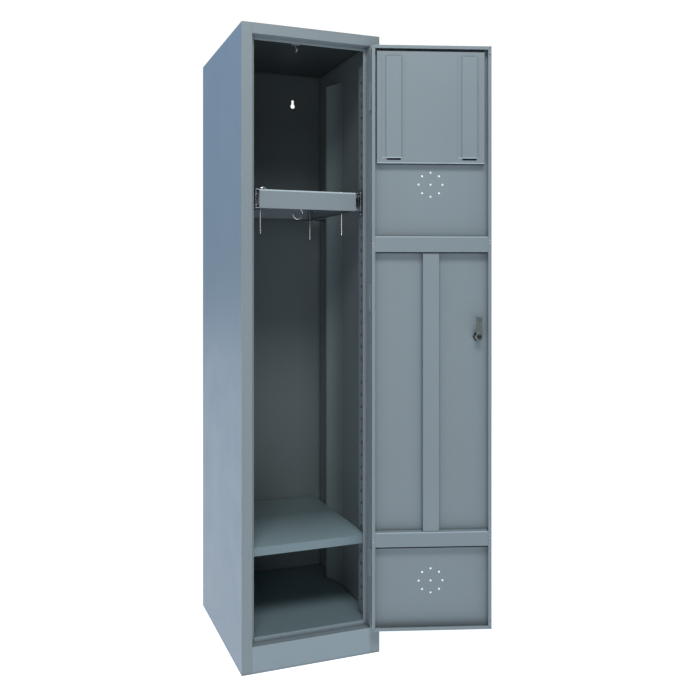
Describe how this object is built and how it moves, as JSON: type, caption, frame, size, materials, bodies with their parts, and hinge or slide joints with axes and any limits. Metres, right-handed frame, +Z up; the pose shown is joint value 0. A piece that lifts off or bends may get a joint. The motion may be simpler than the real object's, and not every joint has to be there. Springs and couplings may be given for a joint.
{
  "type": "school locker",
  "caption": "Tall single-door steel locker with an adjustable shelf, a pull-out hanging tray on ball-bearing slides and a cam lock.",
  "frame": {"origin": "on the floor, at the centre of the cabinet's footprint", "axes": "+X to the cabinet's right as seen from the front, +Y to the back, +Z up; the door and its handle side face -Y when shut"},
  "size_m": [0.7132, 0.672, 1.8],
  "materials": {
    "grey_powder_coat": "satin grey powder coat",
    "inner_powder_coat": "satin grey powder coat, inside",
    "zinc_plate": "bright zinc plate",
    "bright_chrome": "polished chrome",
    "black_plastic": "moulded black plastic"
  },
  "bodies": {
    "cabinet": {"left_side_panel": "grey_powder_coat", "right_side_panel": "grey_powder_coat", "back_panel": "inner_powder_coat", "top_panel": "grey_powder_coat", "left_stile": "grey_powder_coat", "right_stile": "grey_powder_coat", "head_rail": "grey_powder_coat", "plinth": "grey_powder_coat", "base_shelf": "inner_powder_coat", "base_frame": "grey_powder_coat", "front_upright_left": "inner_powder_coat", "front_upright_right": "inner_powder_coat", "rear_upright_left": "inner_powder_coat", "rear_upright_right": "inner_powder_coat", "mid_shelf": "inner_powder_coat", "shelf_clips": "zinc_plate", "slide_bracket_left": "inner_powder_coat", "slide_bracket_right": "inner_powder_coat", "bracket_screws": "zinc_plate", "rear_clips": "black_plastic", "wall_rivets": "grey_powder_coat", "ceiling_hook": "zinc_plate", "hinge_frame_leaves": "grey_powder_coat", "hinge_pins": "zinc_plate", "slide_outer_left": "zinc_plate", "slide_outer_right": "zinc_plate"},
    "slide_middles": {"slide_middle_left": "zinc_plate", "slide_middle_right": "zinc_plate"},
    "outer_cages": {"outer_cage_left": "bright_chrome", "outer_cage_right": "bright_chrome"},
    "inner_cages": {"inner_cage_left": "bright_chrome", "inner_cage_right": "bright_chrome"},
    "tray": {"slide_inner_left": "zinc_plate", "slide_inner_right": "zinc_plate", "lever_rivets": "zinc_plate", "tray_pan": "grey_powder_coat", "tray_screws": "zinc_plate", "front_left_rod": "bright_chrome", "front_right_rod": "bright_chrome", "rear_left_rod": "bright_chrome", "rear_right_rod": "bright_chrome", "tray_hook": "bright_chrome", "hook_nut": "zinc_plate"},
    "lever_left": {"release_lever_left": "black_plastic"},
    "lever_right": {"release_lever_right": "black_plastic"},
    "door": {"door_skin": "grey_powder_coat", "door_upper_panel": "grey_powder_coat", "panel_strip_hinge_side": "grey_powder_coat", "panel_strip_lock_side": "grey_powder_coat", "door_upper_rail": "grey_powder_coat", "door_lower_rail": "grey_powder_coat", "door_stiffener": "grey_powder_coat", "hinge_door_leaves": "grey_powder_coat", "lock_body": "bright_chrome", "lock_body_nut": "bright_chrome"},
    "cam": {"lock_plug": "bright_chrome", "lock_cam": "zinc_plate", "cam_nut": "bright_chrome"}
  },
  "joints": [
    {"name": "door_hinge", "type": "hinge", "parent": "cabinet", "child": "door", "pos_m": [0.176, -0.2695, 0.9225], "axis": [0, 0, 1], "range_deg": [-161.7, 13]},
    {"name": "tray_slide", "type": "slide", "parent": "cabinet", "child": "tray", "axis": [0, -1, 0], "range_m": [0, 0.386]},
    {"name": "slide_middle_travel", "type": "slide", "parent": "cabinet", "child": "slide_middles", "axis": [0, -1, 0], "range_m": [0, 0.193]},
    {"name": "outer_cage_travel", "type": "slide", "parent": "cabinet", "child": "outer_cages", "axis": [0, -1, 0], "range_m": [0, 0.0965]},
    {"name": "inner_cage_travel", "type": "slide", "parent": "cabinet", "child": "inner_cages", "axis": [0, -1, 0], "range_m": [0, 0.2895]},
    {"name": "lever_left_turn", "type": "hinge", "parent": "tray", "child": "lever_left", "pos_m": [-0.1485, -0.146, 1.317], "axis": [1, 0, 0], "range_deg": [0, 3.5], "stiffness_Nm_per_rad": 0.02},
    {"name": "lever_right_turn", "type": "hinge", "parent": "tray", "child": "lever_right", "pos_m": [0.1485, -0.146, 1.317], "axis": [-1, 0, 0], "range_deg": [0, 3.5], "stiffness_Nm_per_rad": 0.02},
    {"name": "cam_turn", "type": "hinge", "parent": "door", "child": "cam", "pos_m": [0.46344, -0.39721, 0.923], "axis": [-0.314, -0.9494, 0], "range_deg": [-90, 0]}
  ],
  "couplings": [
    {"joint": "slide_middle_travel", "follows": "tray_slide", "ratio": 0.5},
    {"joint": "outer_cage_travel", "follows": "tray_slide", "ratio": 0.25},
    {"joint": "inner_cage_travel", "follows": "tray_slide", "ratio": 0.75}
  ]
}
